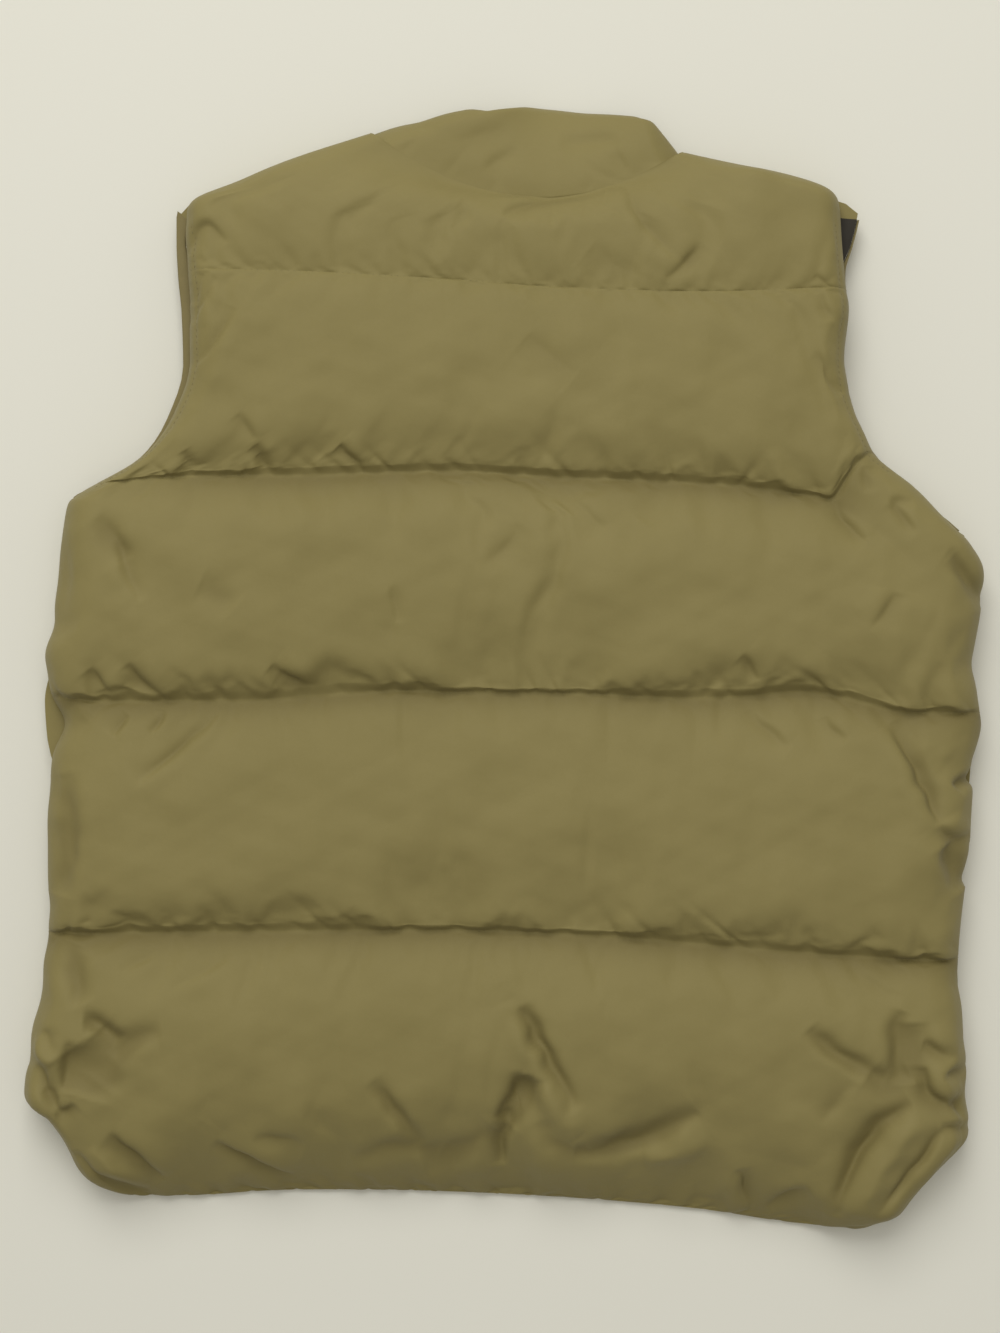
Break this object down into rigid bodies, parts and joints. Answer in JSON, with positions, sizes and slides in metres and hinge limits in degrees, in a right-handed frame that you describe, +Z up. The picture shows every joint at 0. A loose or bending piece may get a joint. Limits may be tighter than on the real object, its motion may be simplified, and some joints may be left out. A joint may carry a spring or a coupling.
{
  "type": "puffer vest",
  "caption": "Quilted down vest laid flat, back up, with a back yoke, wide horizontal channels, a dropped tail with rounded corners, a stand collar and a press-stud fly.",
  "frame": {"origin": "on the surface that the vest lies on, under the middle of its outline", "axes": "+Z up, off the surface; +Y from the hem to the collar; +X towards the wearer's right side, since the vest lies face down"},
  "size_m": [0.573, 0.671, 0.0482],
  "materials": {
    "shell": "olive khaki nylon, fine plain weave, slight sheen",
    "trim": "olive khaki nylon binding tape",
    "lining": "dark brown-black lining taffeta, matte",
    "stud": "plain antique brass cap"
  },
  "bodies": {
    "root": {"back_panel": "shell", "back_yoke": "shell", "front_left": "shell", "front_right": "shell", "collar": "shell", "fly_strip": "shell", "armhole_tape_left": "trim", "armhole_tape_right": "trim", "armhole_lining_left": "lining", "armhole_lining_right": "lining", "press_stud_1": "stud", "press_stud_2": "stud", "press_stud_3": "stud", "press_stud_4": "stud", "press_stud_5": "stud", "press_stud_6": "stud"}
  },
  "joints": []
}
